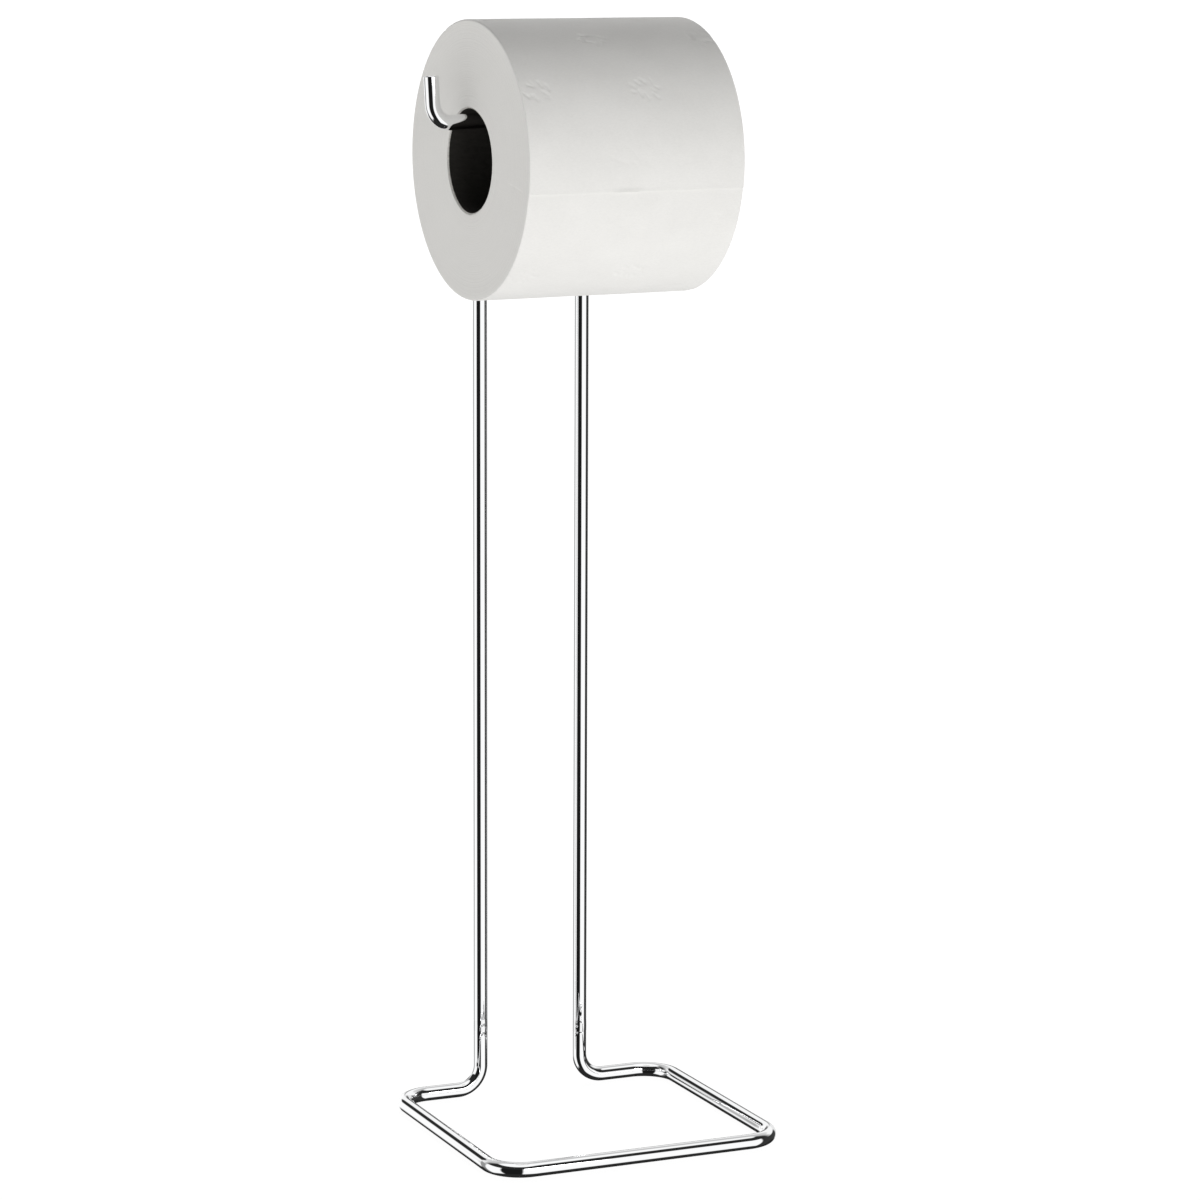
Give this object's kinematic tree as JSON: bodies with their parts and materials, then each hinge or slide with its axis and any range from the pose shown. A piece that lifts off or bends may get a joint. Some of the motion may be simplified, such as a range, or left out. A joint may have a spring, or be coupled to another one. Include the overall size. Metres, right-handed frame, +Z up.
{
  "type": "toilet paper holder",
  "caption": "Free-standing bent-wire toilet paper holder: open floor loop, twin uprights and a hooked arm that carries a free-turning roll.",
  "frame": {"origin": "on the floor, under the middle of the floor loop (midway between its side wires and between its front and back wires)", "axes": "+X to the right as the holder is faced, with the arm's hook at the left end; +Y to the back, where the uprights stand; +Z up"},
  "size_m": [0.1462, 0.1333, 0.4871],
  "materials": {
    "chrome_wire": "polished",
    "chrome_weld": "gloss",
    "core_board": "matte",
    "tissue_paper": "matte"
  },
  "bodies": {
    "stand": {"base_wire": "chrome_wire", "left_upright": "chrome_wire", "right_upright": "chrome_wire", "arm_wire": "chrome_wire", "left_foot_weld": "chrome_weld", "right_foot_weld": "chrome_weld", "left_top_weld": "chrome_weld", "right_top_weld": "chrome_weld"},
    "roll": {"core_inner_ply": "core_board", "core_outer_ply": "core_board", "paper_roll": "tissue_paper"}
  },
  "joints": [
    {"name": "roll_spin", "type": "hinge", "parent": "stand", "child": "roll", "pos_m": [-0.0079, -0.005, 0.42722], "axis": [0.9985, 0.0523, 0.0175], "continuous": true}
  ]
}
